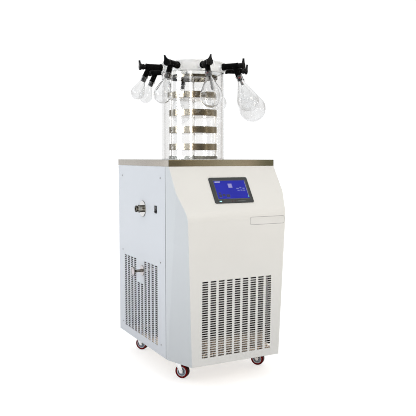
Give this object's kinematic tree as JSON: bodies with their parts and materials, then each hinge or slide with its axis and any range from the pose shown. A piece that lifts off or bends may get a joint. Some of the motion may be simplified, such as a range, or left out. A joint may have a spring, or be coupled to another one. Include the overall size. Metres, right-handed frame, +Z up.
{
  "type": "freeze dryer",
  "caption": "Floor-standing laboratory freeze dryer: clear drying chamber with shelves on a cabinet, manifold with valves and flasks, on casters.",
  "frame": {"origin": "on the floor, under the middle of the whole object's box", "axes": "+Z up, the front faces -Y, +X to the right as seen from the front"},
  "size_m": [0.6895, 0.8136, 1.4595],
  "materials": {
    "side_paint": "satin powder coat",
    "front_paint": "satin powder coat",
    "stainless": "brushed",
    "polished_steel": "polished",
    "chassis_zinc": "black enamel, with a tan pan",
    "screw_zinc": "zinc plated",
    "switch_black": "gloss",
    "bezel_grey": "satin",
    "display_blue": "glossy, lit",
    "silicone": "translucent white",
    "acrylic": "clear, polished",
    "manifold_acrylic": "translucent",
    "flask_glass": "clear",
    "valve_rubber": "matt black",
    "knob_plastic": "satin black",
    "tray_steel": "brushed",
    "foam": "closed-cell foam",
    "copper": "drawn copper tube",
    "compressor_black": "gloss enamel",
    "fin_aluminium": "dark coated fins",
    "shroud_steel": "black enamel",
    "motor_grey": "enamel",
    "fan_blade": "pressed sheet",
    "hose_clear": "soft tube",
    "box_grey": "powder coat",
    "inlet_black": "moulded",
    "caster_zinc": "bright zinc",
    "hub_grey": "moulded",
    "tread_red": "cast polyurethane"
  },
  "bodies": {
    "cabinet": {"front_shell": "front_paint", "side_panel_left": "side_paint", "side_panel_right": "side_paint", "back_panel": "side_paint", "top_plate": "stainless", "chassis_frame": "chassis_zinc", "panel_screws": "screw_zinc", "vacuum_port": "polished_steel", "switch_housing": "switch_black", "drain_valve_body": "polished_steel", "screen_bezel": "bezel_grey", "screen_display": "display_blue", "chamber_seals": "silicone", "chamber_tube": "acrylic", "manifold_body": "manifold_acrylic", "rack_stand": "tray_steel", "rack_top_disc": "tray_steel", "cold_trap_well": "stainless", "trap_insulation": "foam", "refrigerant_circuit": "copper", "compressor": "compressor_black", "condenser": "fin_aluminium", "fan_shroud": "shroud_steel", "fan_motor": "motor_grey", "drain_hose": "hose_clear", "controller_box": "box_grey", "power_inlet": "inlet_black", "valve_bodies": "valve_rubber", "caster_plates": "caster_zinc", "shelf_tray_1": "tray_steel", "shelf_tray_2": "tray_steel", "shelf_tray_3": "tray_steel", "shelf_tray_4": "tray_steel", "flasks_100ml": "flask_glass", "flasks_250ml": "flask_glass", "flasks_500ml": "flask_glass", "flasks_1000ml": "flask_glass"},
    "power_rocker": {"power_rocker": "switch_black"},
    "drain_knob": {"drain_knob": "polished_steel"},
    "condenser_fan": {"condenser_fan": "fan_blade"},
    "valve_knob_1": {"valve_knob_1": "knob_plastic"},
    "valve_knob_2": {"valve_knob_2": "knob_plastic"},
    "valve_knob_3": {"valve_knob_3": "knob_plastic"},
    "valve_knob_4": {"valve_knob_4": "knob_plastic"},
    "valve_knob_5": {"valve_knob_5": "knob_plastic"},
    "valve_knob_6": {"valve_knob_6": "knob_plastic"},
    "valve_knob_7": {"valve_knob_7": "knob_plastic"},
    "valve_knob_8": {"valve_knob_8": "knob_plastic"},
    "caster_fl": {"caster_fork_fl": "caster_zinc"},
    "wheel_fl": {"wheel_hub_fl": "hub_grey", "wheel_tread_fl": "tread_red"},
    "caster_fr": {"caster_fork_fr": "caster_zinc"},
    "wheel_fr": {"wheel_hub_fr": "hub_grey", "wheel_tread_fr": "tread_red"},
    "caster_rl": {"caster_fork_rl": "caster_zinc"},
    "wheel_rl": {"wheel_hub_rl": "hub_grey", "wheel_tread_rl": "tread_red"},
    "caster_rr": {"caster_fork_rr": "caster_zinc"},
    "wheel_rr": {"wheel_hub_rr": "hub_grey", "wheel_tread_rr": "tread_red"}
  },
  "joints": [
    {"name": "rocker_tilt", "type": "hinge", "parent": "cabinet", "child": "power_rocker", "pos_m": [-0.29037, -0.12383, 0.763], "axis": [0, 1, 0], "range_deg": [-22, 0]},
    {"name": "drain_knob_turn", "type": "hinge", "parent": "cabinet", "child": "drain_knob", "pos_m": [-0.29437, 0.04717, 0.4565], "axis": [-1, 0, 0], "range_deg": [0, 720]},
    {"name": "fan_spin", "type": "hinge", "parent": "cabinet", "child": "condenser_fan", "pos_m": [-0.02537, -0.27983, 0.299], "axis": [0, 1, 0], "continuous": true},
    {"name": "valve_1_turn", "type": "hinge", "parent": "cabinet", "child": "valve_knob_1", "pos_m": [-0.06878, -0.20803, 1.4254], "axis": [-0.1736, -0.9848, 0], "range_deg": [0, 180]},
    {"name": "valve_2_turn", "type": "hinge", "parent": "cabinet", "child": "valve_knob_2", "pos_m": [0.11623, -0.16786, 1.4254], "axis": [0.5664, -0.8241, 0], "range_deg": [0, 180]},
    {"name": "valve_3_turn", "type": "hinge", "parent": "cabinet", "child": "valve_knob_3", "pos_m": [0.21842, -0.01722, 1.4254], "axis": [0.9751, -0.2215, 0], "range_deg": [0, 180]},
    {"name": "valve_4_turn", "type": "hinge", "parent": "cabinet", "child": "valve_knob_4", "pos_m": [0.17688, 0.18512, 1.4254], "axis": [0.809, 0.5878, 0], "range_deg": [0, 180]},
    {"name": "valve_5_turn", "type": "hinge", "parent": "cabinet", "child": "valve_knob_5", "pos_m": [0.03087, 0.28176, 1.4254], "axis": [0.225, 0.9744, 0], "range_deg": [0, 180]},
    {"name": "valve_6_turn", "type": "hinge", "parent": "cabinet", "child": "valve_knob_6", "pos_m": [-0.14999, 0.25489, 1.4254], "axis": [-0.4985, 0.8669, 0], "range_deg": [0, 180]},
    {"name": "valve_7_turn", "type": "hinge", "parent": "cabinet", "child": "valve_knob_7", "pos_m": [-0.27366, 0.06734, 1.4254], "axis": [-0.9932, 0.1167, 0], "range_deg": [0, 180]},
    {"name": "valve_8_turn", "type": "hinge", "parent": "cabinet", "child": "valve_knob_8", "pos_m": [-0.22397, -0.11367, 1.4254], "axis": [-0.7944, -0.6074, 0], "range_deg": [0, 180]},
    {"name": "caster_fl_swivel", "type": "hinge", "parent": "cabinet", "child": "caster_fl", "pos_m": [-0.22637, -0.20483, 0.09], "axis": [0, 0, 1], "continuous": true},
    {"name": "wheel_fl_roll", "type": "hinge", "parent": "caster_fl", "child": "wheel_fl", "pos_m": [-0.2104, -0.22406, 0.0315], "axis": [0.7694, 0.6388, 0], "continuous": true},
    {"name": "caster_fr_swivel", "type": "hinge", "parent": "cabinet", "child": "caster_fr", "pos_m": [0.17563, -0.20483, 0.09], "axis": [0, 0, 1], "continuous": true},
    {"name": "wheel_fr_roll", "type": "hinge", "parent": "caster_fr", "child": "wheel_fr", "pos_m": [0.1916, -0.22406, 0.0315], "axis": [0.7694, 0.6388, 0], "continuous": true},
    {"name": "caster_rl_swivel", "type": "hinge", "parent": "cabinet", "child": "caster_rl", "pos_m": [-0.22637, 0.28517, 0.09], "axis": [0, 0, 1], "continuous": true},
    {"name": "wheel_rl_roll", "type": "hinge", "parent": "caster_rl", "child": "wheel_rl", "pos_m": [-0.2104, 0.26593, 0.0315], "axis": [0.7694, 0.6388, 0], "continuous": true},
    {"name": "caster_rr_swivel", "type": "hinge", "parent": "cabinet", "child": "caster_rr", "pos_m": [0.17563, 0.28517, 0.09], "axis": [0, 0, 1], "continuous": true},
    {"name": "wheel_rr_roll", "type": "hinge", "parent": "caster_rr", "child": "wheel_rr", "pos_m": [0.1916, 0.26593, 0.0315], "axis": [0.7694, 0.6388, 0], "continuous": true}
  ]
}
